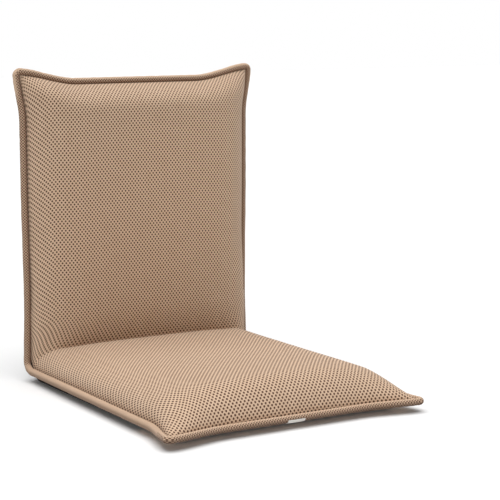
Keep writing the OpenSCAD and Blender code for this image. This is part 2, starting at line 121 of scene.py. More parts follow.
# Underside
UNDER_DEPTH = 18.5
UNDER_EDGE = 1.5
UNDER_FORM = 3
FRONT_BELLY = 45
BELLY_TAPER = 13
FRONT_RISE = 75
TOP_RISE = 45
FLAT_INSET = 16
FLAT_TAPER = 44
BLACK_SEAT_END = 420
BLACK_BACK_END = 415
ZIP_AT = 40
ZIP_SLOT = 22
ZIP_END_IN = 3
GRIP_START = 10
GRIP_END = 475
GRIP_LEVEL = -18.6
GRIP_T = 1.3

# Foams
FOAM_IN = 2.6
PAD_START = 36
PAD_FLOOR = 7.2
PAD_LEAST = 0.9
PAD_DIP = 8
PAD_DIP_RUN = 80
PAD_GAP = 0.3
SHUT_HALF_ANGLE = 22.5
FOLD_FLOOR = 14.8
FOLD_KNEE = (26, 8)
LIP_SHORT = (8, 6)
FLOOR_STOPS = (-1, -0.4, 0, 0.4, 1)
CORE_HALF_T = 9.2
CORE_HALF_W = 190.1
CORE_CORNER = 40
CORE_END_IN = 99.8
CORE_EDGE = 1.5
NEAR_CORE_HALF_W = 178
CROSS_TUBE = (97.7, 114.3)

# Frame, straps and boards
TUBE_Z = -4.9
RAIL_X = 200
STRAP_R = 10.9
STRAP_W = 38
STRAP_T = 1.8
STRAPS = 6
STRAP_START = 122
STRAP_END_IN = 140
STRAP_WRAP = 115
BOARD_LEVEL = -16.6
BOARD_T = 1.8
BOARD_GAP = 24

SEAT = Matrix(((1, 0, 0, 0), (0, -1, 0, AXIS[1]), (0, 0, 1, ROLL_LEVEL), (0, 0, 0, 1)))
BACK = Matrix(((1, 0, 0, 0), (0, 0, -1, AXIS[1] + FOLD_RISE), (0, 1, 0, AXIS[2]), (0, 0, 0, 1)))


# Outline of one half, with y measured out from the fold axis
def ease(u):
    """0 to 1 with a soft start and end."""
    c = np.clip(u, 0, 1)
    return c * c * (3 - 2 * c)


def past(value, start, full):
    """0 at the start and 1 where it's full, whichever is higher."""
    return ease((value - start) / (full - start))


def side_at(y, length):
    """Half the width at a distance from the fold: a slight waist, and corners that stand out."""
    waist = WAIST[length] * ease(y / WAIST_NEAR) * ease((WAIST_END - y) / WAIST_FADE)
    return HALF_W + EAR_OUT[length] * (1 - ease((length - y) / EAR_REACH)) - waist


def end_at(x, length):
    """Where the end lies: pulled in along its middle, furthest out at the corners."""
    return length - END_PULL * ease((HALF_W + EAR_OUT[length] - np.abs(x)) / END_REACH)


def seat_width(t, y):
    """Fullness across the seat: squarer by the fold, and rounder at the front."""
    near, mid, tip = fullness(t, FOLD_FORM, SEAT_FORM, TIP_FORM)
    mid = near + (mid - near) * ease((y - FOLD_OUT) / FORM_RUN)
    dome = FRONT_DOME / (CROWN_H - SEAM_HIGH) * (1 - t * t) * ease((y - DOME_START) / DOME_REACH)
    return (mid + (tip - mid) * ease((y - SEAT_LEN + END_PULL + TIP_RUN) / TIP_RUN)) * (1 + dome)


def back_width(t, y):
    """Fullness across the back."""
    near, far = fullness(t, FOLD_FORM, BACK_FORM)
    return near + (far - near) * ease((y - FOLD_OUT) / FORM_RUN)


def fullness(t, *forms):
    """Heights from 0 at the sides to 1 in the middle, one for each form."""
    share = np.minimum(np.abs(t), 1)
    return [(1 - share**power) ** root for power, root in forms]


def front_rise(d):
    """The seat's front stands up steeply from the roll and rounds over."""
    return fullness(1 - np.minimum(d / FRONT_RUN, 1), FRONT_SLOPE_FORM)[0]


def top_rise(d):
    """The back's top rounds over from the roll."""
    return fullness(1 - np.minimum(d / TOP_RUN, 1), TOP_SLOPE_FORM)[0]


def placed(points, matrix):
    """Local points, in millimetres, moved to their place on the chair."""
    m = np.array(matrix)
    return points @ m[:3, :3].T + m[:3, 3]


def run_lengths(points, axis, start):
    """Lengths along one way of a grid of points, from the line numbered start."""
    step = np.linalg.norm(np.diff(points, axis=axis), axis=-1)
    pad = [(0, 0), (0, 0)]
    pad[axis] = (1, 0)
    total = np.cumsum(np.pad(step, pad), axis=axis)
    return total - np.take(total, [start], axis=axis)


# Building pieces
def piece(name, bm, finishes, smooth_angle=None):
    """A finished bmesh in metres becomes an object at the origin."""
    mesh = bpy.data.meshes.new(name)
    bm.to_mesh(mesh)
    bm.free()
    made = bpy.data.objects.new(name, mesh)
    bpy.context.scene.collection.objects.link(made)
    for finish in finishes:
        mesh.materials.append(finish)
    mesh.shade_smooth()
    if smooth_angle is not None:
        mesh.set_sharp_from_angle(angle=math.radians(smooth_angle))
    return made


def grid_mesh(points, lengths, ring=False, values=None, floor=None):
    """A flat grid moved to a grid of points in millimetres, with its lengths as UV in metres.

    It keeps values by name on its points, and a floor as a second place for each."""
    across, along = points.shape[0] - 1, points.shape[1] - 1
    bm = bmesh.new()
    uv = bm.loops.layers.uv.new("cloth")
    layers = [(bm.verts.layers.float.new(name), value) for name, value in (values or {}).items()]
    under = bm.verts.layers.float_vector.new("under") if floor is not None else None
    bmesh.ops.create_grid(bm, x_segments=across, y_segments=along, size=0.5)
    spots = {v: (round((v.co.x + 0.5) * across), round((v.co.y + 0.5) * along)) for v in bm.verts}
    for face in bm.faces:
        for loop in face.loops:
            i, j = spots[loop.vert]
            loop[uv].uv = (lengths[0][i, j] * MM, lengths[1][i, j] * MM)
    for v, spot in spots.items():
        for layer, value in layers:
            v[layer] = float(value[spot])
        if under:
            v[under] = Vector(floor[spot]) * MM
    for v, spot in spots.items():
        v.co = Vector(points[spot]) * MM
    if ring:
        bmesh.ops.remove_doubles(bm, verts=bm.verts[:], dist=1e-6)
        bmesh.ops.recalc_face_normals(bm, faces=bm.faces[:])
    return bm, spots


def faced(bm, towards):
    """Turns an open sheet's faces so that most of them look the way given."""
    bm.normal_update()
    way = sum((f.normal * f.calc_area() for f in bm.faces), Vector())
    if way.dot(Vector(towards)) < 0:
        bmesh.ops.reverse_faces(bm, faces=bm.faces[:])


def thicken(made, thickness, offset):
    """A sheet gets its thickness, behind its faces at offset -1 and in front of them at 1."""
    solid = made.modifiers.new("thickness", "SOLIDIFY")
    solid.thickness, solid.offset = thickness * MM, offset
    return made


def sheet_piece(name, grid, across, along, towards, finish, smooth_angle=None):
    """A sheet over a grid of points, with its lengths counted from the lines numbered across and along."""
    bm, _ = grid_mesh(grid, (run_lengths(grid, 0, across), run_lengths(grid, 1, along)))
    faced(bm, towards)
    return piece(name, bm, [finish], smooth_angle)


def gathered(bm, other):
    """Adds another bmesh to this one and frees it."""
    mesh = bpy.data.meshes.new("part")
    other.to_mesh(mesh)
    other.free()
    bm.from_mesh(mesh)
    bpy.data.meshes.remove(mesh)


def middle_of(element):
    """A point's place, or the middle of an edge or a face."""
    points = getattr(element, "verts", [element])
    return tuple(sum((v.co for v in points), Vector()) / len(points))


def set_order(bm):
    """Points, edges and faces follow their places, because extruding leaves them in a chance order."""
    for elements in (bm.verts, bm.edges, bm.faces):
        for n, element in enumerate(sorted(elements, key=middle_of)):
            element.index = n
        elements.sort()


# Materials
class Wire:
    """A value inside a finish. Sums on it add their maths nodes."""

    def __init__(self, finish, socket):
        self.finish, self.socket = finish, socket

    def sum(self, operation, *others):
        values = {n: v for n, v in enumerate((self, *others))}
        return self.finish.node("Math", values, operation=operation)

    def __add__(self, other):
        return self.sum("ADD", other)

    __radd__ = __add__

    def __sub__(self, other):
        return self.sum("SUBTRACT", other)

    def __rsub__(self, other):
        return self.finish.node("Math", {0: other, 1: self}, operation="SUBTRACT")

    def __mul__(self, other):
        return self.sum("MULTIPLY", other)

    def __truediv__(self, other):
        return self.sum("DIVIDE", other)

    def __pow__(self, other):
        return self.sum("POWER", other)

    def fract(self):
        return self.sum("FRACT")

    def sine(self):
        return self.sum("SINE")

    def least(self, other):
        return self.sum("MINIMUM", other)

    def most(self, other):
        return self.sum("MAXIMUM", other)

    def ripple(self, length):
        """A sine wave of the length given."""
        return (self * (2 * math.pi / length)).sine()

    def ramp(self, low, high):
        """0 below low and 1 above high, with a soft turn between."""
        limits = {"Value": self, "From Min": low, "From Max": high}
        return self.finish.node("MapRange", limits, interpolation_type="SMOOTHSTEP")


def tone(r, g, b):
    """A colour as a screen shows it, in linear light."""
    return tuple(((c / 255 + 0.055) / 1.055) ** 2.4 if c > 10 else c / 255 / 12.92 for c in (r, g, b)) + (1,)


class Finish:
    """A material, with what feeds its shader."""

    def __init__(self, name, **settings):
        self.material = bpy.data.materials.new(name)
        self.material.use_nodes = True
        self.tree = self.material.node_tree
        self.shader = self.tree.nodes["Principled BSDF"]
        for key, value in settings.items():
            self.shader.inputs[key.replace("_", " ").title().replace("Ior", "IOR")].default_value = value

    def node(self, kind, sockets=None, out=0, **settings):
        made = self.tree.nodes.new("ShaderNode" + kind)
        for key, value in settings.items():
            setattr(made, key, value)
        for key, value in (sockets or {}).items():
            if isinstance(value, Wire):
                self.tree.links.new(value.socket, made.inputs[key])
            else:
                made.inputs[key].default_value = value
        return Wire(self, made.outputs[out])

    def feed(self, key, wire):
        self.tree.links.new(wire.socket, self.shader.inputs[key])

    def blend(self, share, first, second):
        """A colour between two."""
        return self.node("Mix", {0: share, 6: first, 7: second}, out=2, data_type="RGBA")

    def place(self):
        return self.node("TexCoord", out=3)

    def cloth(self):
        """The two lengths along the cloth, in metres."""
        uv = self.node("UVMap", uv_map="cloth")
        return self.node("SeparateXYZ", {0: uv}), self.node("SeparateXYZ", {0: uv}, out=1)

    def kept(self, name):
        """A value kept on the piece's own points."""
        return self.node("Attribute", out=2, attribute_name=name)

    def noise(self, scale, detail=2, roughness=0.5):
        sockets = {"Vector": self.place(), "Scale": scale, "Detail": detail, "Roughness": roughness}
        return self.node("TexNoise", sockets)

    def bump(self, height, distance, strength):
        made = self.node("Bump", {"Height": height, "Distance": distance, "Strength": strength})
        self.feed("Normal", made)


def dot_field(u, v, cell, hole):
    """Distance from the nearest hole of a staggered mesh, 1 at its rim."""

    def from_hole(shift):
        x = ((u / cell[0] + shift).fract() - 0.5) * (cell[0] / hole[0])
        y = ((v / cell[1] + shift).fract() - 0.5) * (cell[1] / hole[1])
        return (x * x + y * y) ** 0.5

    return from_hole(0).least(from_hole(0.5))


# Meshes of the cloths, as the size of a cell and half the size of its hole in metres, their colours, and the
# colours of painted shade
MESH_DOTS = ((0.0079, 0.0102), (0.00198, 0.00225))
ROLL_DOTS = ((0.0054, 0.0060), (0.00168, 0.0018))
GRIP_DOTS = ((0.006, 0.006), (0.0012, 0.0012))
YARN = tone(226, 196, 168)
YARN_DEEP = tone(208, 176, 147)
HOLE = tone(88, 54, 33)
ROLL_HOLE = tone(84, 52, 33)
PLAIN = tone(216, 186, 159)
# Painted shade for the seams, where the cover and the roll meet
PAINTED_SEAM_SHADE = tone(104, 70, 46)
# Painted shade for the roll's lower side
PAINTED_UNDER_SHADE = tone(140, 124, 112)


def mesh_fabric():
    """Tan spacer mesh: staggered dark holes in a knitted ground, with painted shade along its seams."""
    f = Finish("mesh_fabric", specular_ior_level=0.35, sheen_weight=0.12, sheen_roughness=0.5)
    u, v = f.cloth()
    rim = dot_field(u, v, *MESH_DOTS)
    ground = rim.ramp(0.72, 1.18)
    knit = v.ripple(0.00115) * u.ripple(0.0019)
    mottle = f.noise(55, detail=3)
    yarn = f.blend(mottle * 0.6 + knit * 0.12 + 0.1, YARN, YARN_DEEP)
    colour = f.blend(ground, HOLE, yarn)
    # Painted shade darkens the cover a little along its seams
    f.feed("Base Color", f.blend(f.kept("seam") * 0.15, colour, PAINTED_SEAM_SHADE))
    f.feed("Roughness", 0.78 + mottle * 0.14)
    f.bump(ground + knit * 0.06 + mottle * 0.1, distance=0.0011, strength=0.7)
    return f.material


def with_painted_shade(finish, colour):
    """The same cloth darkened by painted shade, for where the roll turns under."""
    sockets = {0: 1.0, 6: colour, 7: PAINTED_UNDER_SHADE}
    return finish.node("Mix", sockets, out=2, data_type="RGBA", blend_type="MULTIPLY")


def roll_fabric():
    """The roll's fine mesh, and the smooth cloth on its outer side."""
    f = Finish("roll_fabric", specular_ior_level=0.35, sheen_weight=0.12, sheen_roughness=0.5)
    u, v = f.cloth()
    rim = dot_field(v, u, *ROLL_DOTS)
    ground = (rim.ramp(0.7, 1.2) + f.kept("plain")).least(1)
    weave = v.ripple(0.0009) * u.ripple(0.0009)
    mottle = f.noise(60, detail=3)
    yarn = f.blend(mottle * 0.7 + weave * 0.15, PLAIN, YARN_DEEP)
    colour = f.blend(ground, ROLL_HOLE, yarn)
    # Painted shade darkens the roll's lower side
    colour = f.blend(f.kept("shade") * 0.8, colour, with_painted_shade(f, colour))
    # Painted shade on the roll's inner side next to the cover
    f.feed("Base Color", f.blend(f.kept("seam") * 0.6, colour, PAINTED_SEAM_SHADE))
    f.feed("Roughness", 0.8 + mottle * 0.12)
    f.bump(ground + weave * 0.1 + mottle * 0.12, distance=0.0007, strength=0.6)
    return f.material


def black_cloth():
    """Black cloth of the underside, with small gripping dots."""
    f = Finish("grip_cloth", specular_ior_level=0.05)
    u, v = f.cloth()
    rim = dot_field(u, v, *GRIP_DOTS)
    dots = 1 - rim.ramp(0.8, 1.2)
    weave = v.ripple(0.0011) * u.ripple(0.0011)
    f.feed("Base Color", f.blend(f.noise(40, detail=3) * 0.5, tone(12, 12, 13), tone(27, 26, 26)))
    f.feed("Roughness", 0.85 - dots * 0.3)
    f.bump(dots + weave * 0.15, distance=0.0006, strength=0.6)
    return f.material


def flap_cloth():
    """Plain woven tan cloth of the turned-up ends."""
    f = Finish("flap_cloth", roughness=0.88, sheen_weight=0.2)
    u, v = f.cloth()
    weave = v.ripple(0.0012) * u.ripple(0.0012)
    f.feed("Base Color", f.blend(f.noise(50, detail=3) * 0.7 + weave * 0.2, PLAIN, YARN_DEEP))
    f.bump(weave + f.noise(180), distance=0.0003, strength=0.5)
    return f.material


def foam_finish(name, light, deep):
    f = Finish(name, roughness=0.95)
    cells = f.node("TexVoronoi", {"Vector": f.place(), "Scale": 420})
    f.feed("Base Color", f.blend(cells * 0.6 + f.noise(20, detail=3) * 0.4, light, deep))
    f.bump(cells, distance=0.0008, strength=0.5)
    return f.material


def felt_finish():
    f = Finish("felt", roughness=0.97, sheen_weight=0.3)
    fibres = f.noise(260, detail=6, roughness=0.7)
    f.feed("Base Color", f.blend(fibres, tone(96, 94, 92), tone(150, 147, 143)))
    f.bump(fibres, distance=0.0006, strength=0.6)
    return f.material


def webbing_finish():
    """Elastic webbing: cords along its length, crossed by a fine weft."""
    f = Finish("elastic_webbing", roughness=0.75, sheen_weight=0.15)
    u, v = f.cloth()
    cords, weft = v.ripple(0.0022), u.ripple(0.0012)
    f.feed("Base Color", f.blend(cords * 0.5 + 0.5, tone(18, 18, 20), tone(46, 45, 46)))
    f.bump(cords + weft * 0.4, distance=0.0003, strength=0.7)
    return f.material


def tape_finish(name, light, deep, rib):
    """Woven tape with ribs of the width given, in metres."""
    f = Finish(name, roughness=0.7, sheen_weight=0.15)
    u, v = f.cloth()
    ribs = u.ripple(rib) * v.ripple(rib * 1.3)
    f.feed("Base Color", f.blend(ribs * 0.35 + f.noise(90) * 0.4, light, deep))
    f.bump(ribs, distance=0.0002, strength=0.6)
    return f.material


def metal_finish(name, light, deep, rough, metallic=1.0, grain=30):
    """Metal with a slightly uneven coat."""
    f = Finish(name, metallic=metallic)
    patches = f.noise(grain, detail=4, roughness=0.6)
    fine = f.noise(900)
    f.feed("Base Color", f.blend(patches, light, deep))
    f.feed("Roughness", rough + patches * 0.14 + fine * 0.08)
    f.bump(fine + patches * 0.5, distance=0.00012, strength=0.35)
    return f.material


def plastic_finish():
    f = Finish("black_plastic")
    grain = f.noise(700, detail=3)
    f.feed("Base Color", f.blend(grain, tone(20, 20, 21), tone(38, 38, 39)))
    f.feed("Roughness", 0.42 + grain * 0.2)
    f.bump(grain, distance=0.00015, strength=0.5)
    return f.material


MESH = mesh_fabric()
ROLL = roll_fabric()
GRIP = black_cloth()
FLAP = flap_cloth()
FOAM = foam_finish("foam", tone(236, 226, 196), tone(214, 200, 164))
CORE_FOAM = foam_finish("core_foam", tone(222, 222, 214), tone(190, 190, 182))
FELT = felt_finish()
WEBBING = webbing_finish()
ZIP_TAPE = tape_finish("zip_tape_cloth", tone(24, 24, 25), tone(44, 43, 43), 0.0011)
LABEL = tape_finish("label_tape", tone(240, 238, 232), tone(216, 213, 205), 0.0008)
FRAME_STEEL = metal_finish("frame_steel", tone(120, 122, 124), tone(88, 90, 93), 0.38)
ZINC = metal_finish("zinc_steel", tone(196, 198, 196), tone(150, 154, 156), 0.28, grain=60)
SPRING = metal_finish("spring_steel", tone(112, 114, 122), tone(74, 76, 84), 0.22)
ZIP_METAL = metal_finish("zip_metal", tone(58, 57, 58), tone(34, 34, 36), 0.3)
PLASTIC = plastic_finish()

# Front cover: one cloth from the seat's front seam over the fold to the back's top seam. Its lines lie closer
# together towards the sides, the end seams and the fold
across_shares = np.sin(np.radians(np.linspace(-90, 90, 109)))
pad_shares = 1 - np.linspace(0, 1, 89) ** 1.6
fold_shares = np.linspace(-1, 1, 45)


def pad_half(t, length, width, rise, lip=False):
    """Lines of one half's padding from the end seam (first) to the fold, over the plane of the rolls."""
    t, v = t[:, None], pad_shares[None, :]
    seam = LIP_IN if lip else SEAM_IN
    far = end_at(t * (side_at(FOLD_OUT + (length - FOLD_OUT) * v, length) - SEAM_IN), length) - SEAM_IN
    y = FOLD_OUT + (far - FOLD_OUT) * v
    x = t * (side_at(y, length) - seam)
    z = np.full_like(y, LIP_HIGH) if lip else SEAM_HIGH + (CROWN_H - SEAM_HIGH) * width(t, y) * rise(far - y)
    return np.stack([x, y, z], -1)


def end_lip(line):
    """The last line of the cloth, turned down beside the roll."""
    turned = line.copy()
    turned[:, 1] += SEAM_IN - LIP_IN
    turned[:, 2] = LIP_HIGH
    return turned[:, None]


def fold_lines(x, high, out=FOLD_OUT):
    """Lines over the fold, by each one's height over the rolls.

    They run through a soft valley inside, and turn round the axis at the sides."""
    b = (high - FOLD_RISE)[:, None]
    reach = (np.broadcast_to(out, high.shape)[:, None] - b) / math.sqrt(2)
    share = np.sign(fold_shares) * np.abs(fold_shares) ** 1.25
    e1 = reach * share[None, :]
    deep = VALLEY_DEEP * ease((b - VALLEY_START) / (FOLD_RISE - VALLEY_START))
    valley = deep * np.clip(1 - np.abs(e1) / VALLEY_REACH, 0, 1) ** VALLEY_FORM
    straight = math.sqrt(2) * b + np.abs(e1) - valley
    turn = -np.sqrt(np.maximum(b * b - e1 * e1, 0))
    e2 = np.where((b < 0) & (np.abs(e1) < np.abs(b) / math.sqrt(2)), turn, straight)
    y = (e1 - e2) / math.sqrt(2)
    z = (e1 + e2) / math.sqrt(2)
    return np.stack([np.broadcast_to(x[:, None], y.shape), y, z], -1) + AXIS


def cover_points():
    """The front cover's grid, with a line turned down beside the roll all the way round."""
    columns = []
    for lip in (False, True):
        t = np.array([-1.0, 1.0]) if lip else across_shares
        seat = pad_half(t, SEAT_LEN, seat_width, front_rise, lip)
        back = pad_half(t, BACK_LEN, back_width, top_rise, lip)
        seat = np.concatenate([end_lip(seat[:, 0]), seat], 1)
        back = np.concatenate([end_lip(back[:, 0]), back], 1)
        fold = fold_lines(seat[:, -1, 0], seat[:, -1, 2])
        parts = [placed(seat, SEAT), fold[:, 1:-1], placed(back, BACK)[:, ::-1]]
        columns.append(np.concatenate(parts, 1))
    body, lips = columns
    return np.concatenate([lips[:1], body, lips[1:]], 0)


KNIT_CLOSER = (0.1, 0.13)  # the mesh's holes lie closer on the back, across and along
KNIT_RUN = 60
SEAM_REACH = 3
cover_grid = cover_points()
crease_row = len(pad_shares) + len(fold_shares) // 2
cover_u = run_lengths(cover_grid, 0, cover_grid.shape[0] // 2)
cover_v = run_lengths(cover_grid, 1, crease_row)
on_back = ease(cover_v / KNIT_RUN)
knit_lengths = (cover_u * (1 + KNIT_CLOSER[0] * on_back), cover_v * (1 + KNIT_CLOSER[1] * on_back))


def near_edge(u, v, reach):
    """1 on the edge of a grid, falling to 0 at a reach in from it."""
    gaps = [u - u[:1], u[-1:] - u, v - v[:, :1], v[:, -1:] - v]
    return 1 - ease(np.minimum.reduce(gaps) / reach)


# The seam value marks where painted shade darkens the cover along its edges
bm, _ = grid_mesh(cover_grid, knit_lengths, values={"seam": near_edge(cover_u, cover_v, SEAM_REACH)})
faced(bm, (0, -1, 1))
mesh_cover = thicken(piece("mesh_cover", bm, [MESH]), CLOTH_T, -1)


# Edge roll: one closed roll round the seat, up the fold and round the back
def half_path(length):
    """The roll's line in one half: out along one side, round the end and back along the other."""
    y = (length - TIP_R) * np.sin(np.radians(np.linspace(0, 90, 70)))
    side = np.stack([side_at(y, length), y], -1)
    a = np.radians(np.linspace(0, 90, 9)[1:-1])
    tip_x = HALF_W + EAR_OUT[length] - TIP_R
    corner = np.stack([tip_x + TIP_R * np.cos(a), length - TIP_R + TIP_R * np.sin(a)], -1)
    x = tip_x * np.cos(np.radians(np.linspace(0, 180, 91)))
    end = np.stack([x, end_at(x, length)], -1)
    mirrored = [part[::-1] * [-1, 1] for part in (corner, side)]
    return np.concatenate([side, corner, end, *mirrored])


def roll_line():
    """Centres of the roll and the way up from its plane at each, all the way round."""
    seat, back = half_path(SEAT_LEN), half_path(BACK_LEN)
    angles = np.radians(np.linspace(0, 90, 14)[1:-1])
    around = np.stack([0 * angles, np.sin(angles), -np.cos(angles)], -1)
    bulge = np.sin(2 * angles)[:, None]

    def flat(path):
        return np.pad(path, ((0, 0), (0, 1)))

    def arc(x):
        return AXIS + (FOLD_RISE + ARC_RISE * bulge) * around + bulge * [ARC_OUT * np.sign(x), 0, 0] + [x, 0, 0]

    centres = [placed(flat(seat), SEAT), arc(-HALF_W), placed(flat(back), BACK)[::-1], arc(HALF_W)[::-1]]
    ups = [np.tile([0.0, 0, 1], (len(seat), 1)), -around, np.tile([0.0, -1, 0], (len(back), 1)), -around[::-1]]
    return np.concatenate(centres), np.concatenate(ups)


roll_centres, roll_ups = roll_line()
tangents = np.roll(roll_centres, -1, 0) - np.roll(roll_centres, 1, 0)
tangents /= np.linalg.norm(tangents, axis=1)[:, None]
roll_outs = np.cross(roll_ups, tangents)
roll_angles = np.radians(-360 * np.arange(ROLL_SIDES) / ROLL_SIDES)


def closed(values, axis):
    """The first line repeated at the end."""
    return np.concatenate([values, np.take(values, [0], axis=axis)], axis)


def lengths_round(points):
    """Lengths along a line that closes on itself, from its first point back to it."""
    steps = np.linalg.norm(np.diff(closed(points, 0), axis=0), axis=-1)
    return np.concatenate([[0], np.cumsum(steps)])


def roll_ring():
    """The roll's oval at each centre: fuller at the seat's sides, lower in front, closer to the padding on top."""
    a = roll_angles[:, None, None]
    side, deep, high = np.abs(roll_centres[:, 0]), roll_centres[:, 1], roll_centres[:, 2]
    seat_side = (past(high, *ON_SEAT) * past(deep, *SWELL_FRONT))[None, :, None]
    sag = FRONT_SAG * past(side, *SAG_SIDE) * past(deep, *SAG_FRONT)
    tuck = TOP_TUCK * past(side, *TUCK_SIDE) * past(high, *ON_TOP)
    wide = np.where(np.cos(a) > 0, ROLL_OUTER * np.cos(a), ROLL_INNER)
    out = (ROLL_W / 2 + wide) * np.cos(a) - tuck[None, :, None]
    up = (ROLL_H / 2 + seat_side * SIDE_SWELL) * np.sin(a) + seat_side * SIDE_LIFT - sag[None, :, None]
    return roll_outs[None] * out + roll_ups[None] * up


def roll_tints():
    """How far the roll is plain cloth, gets painted shade by the seam, or gets painted shade on its lower side,
    over its grid.
    """
    up_share = closed(np.sin(roll_angles), 0)[:, None]
    out_share = closed(np.cos(roll_angles), 0)[:, None]
    depth = closed(AXIS[1] - roll_centres[:, 1], 0)[None]
    height = closed(roll_centres[:, 2], 0)[None]
    on_seat, on_back, on_top = past(height, *ON_SEAT), past(height, *ON_BACK), past(height, *ON_TOP)
    seat_side = past(depth, *PLAIN_FRONT) * on_seat

    smooth_side = seat_side * past(out_share, -0.6, -0.3)
    smooth_rear = past(up_share, 0.1, -0.3) * on_back
    smooth_edge = 0.7 * past(up_share, 0.7, 1) * on_seat + 0.75 * past(out_share, 0.3, 0.8) * on_top
    # Painted shade on the roll's lower side, kept mostly off the outer side of the roll on top of the back
    shade = past(up_share, 0.5, -0.65) * (1 - 0.85 * past(out_share, 0, 0.5) * on_top)
    return {
        "plain": np.maximum.reduce([smooth_side, smooth_rear, smooth_edge]),
        # Painted shade on the roll's inner side next to the cover, up the fold and the back
        "seam": past(out_share, 0.15, -0.8) * on_back * past(up_share, -0.9, -0.4),
        # Along the seat's sides painted shade covers the whole roll lightly and deepens towards its lower side
        "shade": np.maximum(shade, seat_side * np.maximum(0.3, past(up_share, 1.05, -0.25))),
    }


def roll_mesh():
    """The roll round its line, slightly puckered by waves of a height, a length and a start each."""
    along = lengths_round(roll_centres)
    pucker = sum(high * np.sin(along[:-1] * 2 * math.pi / wave + start) for high, wave, start in PUCKERS)
    swell = 1 + (pucker / ROLL_H)[None, :, None] * (1 + 0.5 * np.cos(roll_angles[:, None, None]))
    ring = roll_ring()
    grid = closed(closed(roll_centres[None] + ring * swell, 0), 1)
    u, v = np.broadcast_arrays(lengths_round(ring[:, 0])[:, None], along[None])
    return grid_mesh(grid, (u, v), ring=True, values=roll_tints())[0]


edge_roll = piece("edge_roll", roll_mesh(), [ROLL])


# Rear cloth: from the seat's front edge under the seat, round the fold and up the back to its top edge
def under_half(t, ys, shares, length, rise, taper):
    """Lines of one half's underside: at the distances given, then on to the edge by shares."""
    t = t[:, None]
    edge = end_at(t * (side_at(length, length) - SEAM_IN), length) - SEAM_IN
    near = np.broadcast_to(ys, (len(t), len(ys)))
    y = np.concatenate([near, ys[-1] + (edge - ys[-1]) * shares[None, :]], 1)
    x = t * (side_at(y, length) - SEAM_IN)
    flat_end = length - END_PULL - rise
    flat = HALF_W - FLAT_INSET - taper * y / flat_end
    past_side = np.maximum(np.abs(x) - flat, 0) / (HALF_W - SEAM_IN - flat)
    past_end = np.maximum(y - flat_end, 0) / (edge - flat_end)
    turn = np.clip(np.hypot(past_side, past_end), 0, 1) ** UNDER_FORM
    return np.stack([x, y, -UNDER_EDGE - (UNDER_DEPTH - UNDER_EDGE) * (1 - turn)], -1)


def wrap_lines(x, z, count=17):
    """Lines round the fold, between the seat's first line and the back's."""
    a = np.radians(np.linspace(0, 90, count)[1:-1])[None, :]
    r = (FOLD_RISE - z)[:, None]
    return np.stack([x[:, None] + 0 * a, r * np.sin(a), -r * np.cos(a)], -1) + AXIS


side_shares = across_shares.copy()
zip_end = (HALF_W - FLAT_INSET - ZIP_END_IN) / (HALF_W - SEAM_IN)
for end in (-zip_end, zip_end):
    side_shares[np.abs(side_shares - end).argmin()] = end
seat_rows = np.concatenate([[2], np.linspace(14, BLACK_SEAT_END, 35)])
back_rows = np.concatenate([[2, 14, 27, ZIP_AT, ZIP_AT + ZIP_SLOT], np.linspace(74, BLACK_BACK_END, 30)])
end_shares = np.linspace(0, 1, 25)[1:]
seat_under = under_half(side_shares, seat_rows, end_shares, SEAT_LEN, FRONT_BELLY, BELLY_TAPER)
back_under = under_half(side_shares, back_rows, end_shares, BACK_LEN, TOP_RISE, 0)
wrap = wrap_lines(seat_under[:, 0, 0], seat_under[:, 0, 2])
under_grid = np.concatenate([placed(seat_under, SEAT)[:, ::-1], wrap, placed(back_under, BACK)], 1)
under_u = run_lengths(under_grid, 0, len(side_shares) // 2)
under_v = run_lengths(under_grid, 1, len(seat_rows) + len(end_shares))
seam_row = len(end_shares)
first_back_row = seat_under.shape[1] + wrap.shape[1]
zip_row = first_back_row + list(back_rows).index(ZIP_AT)
black_end_row = first_back_row + len(back_rows) - 1


def rear_cloth_mesh():
    """The rear cloth, black but for its tan ends, with a slot for the zip."""
    bm, spots = grid_mesh(under_grid, (under_u, under_v))
    slot = []
    for face in bm.faces:
        rows = [spots[v][1] for v in face.verts]
        columns = [abs(side_shares[spots[v][0]]) for v in face.verts]
        face.material_index = int(max(rows) <= seam_row or min(rows) >= black_end_row)
        if min(rows) == zip_row and max(rows) == zip_row + 1 and max(columns) <= zip_end + 1e-6:
            slot.append(face)
    bmesh.ops.delete(bm, geom=slot, context="FACES")
    faced(bm, (0, 1, -1))
    return bm


rear_cloth = thicken(piece("rear_cloth", rear_cloth_mesh(), [GRIP, FLAP]), CLOTH_T, -1)

# Grip sheet under the seat
grip_y = np.concatenate([[GRIP_START], np.linspace(GRIP_START + 6, GRIP_END - 6, 60), [GRIP_END]])
grip_t = np.linspace(-1, 1, 41)[:, None]
grip_x = grip_t * (HALF_W - FLAT_INSET - FLAT_TAPER * grip_y / GRIP_END)
grip_points = placed(np.stack([grip_x, grip_y + 0 * grip_t, GRIP_LEVEL + 0 * grip_x], -1), SEAT)
grip_sheet = thicken(sheet_piece("grip_sheet", grip_points, 20, 0, (0, 0, -1), GRIP), GRIP_T, 1)


# Foams
def foam_block(name, top, floor):
    """A pad between its upper lines and its underside."""
    bm, _ = grid_mesh(top, (run_lengths(top, 0, len(top) // 2), run_lengths(top, 1, 0)), floor=floor)
    under = bm.verts.layers.float_vector["under"]
    lowered = bmesh.ops.extrude_face_region(bm, geom=bm.faces[:])["geom"]
    for v in lowered:
        if isinstance(v, bmesh.types.BMVert):
            v.co = v[under]
    set_order(bm)
    bmesh.ops.recalc_face_normals(bm, faces=bm.faces[:])
    made = piece(name, bm, [FOAM], smooth_angle=40)
    return made


foam_t = np.sin(np.radians(np.linspace(-90, 90, 41)))
foam_v = 1 - (1 - np.linspace(0, 1, 37)) ** 1.5


def foam_near(t):
    """The padding's height at the fold, and where one half's foam starts, clear of the other's when shut."""
    ridge = SEAM_HIGH + (CROWN_H - SEAM_HIGH) * seat_width(t, 0)
    clear = (ridge - FOLD_RISE) / math.tan(math.radians(SHUT_HALF_ANGLE)) + PAD_GAP
    return ridge, np.maximum(PAD_START, clear)


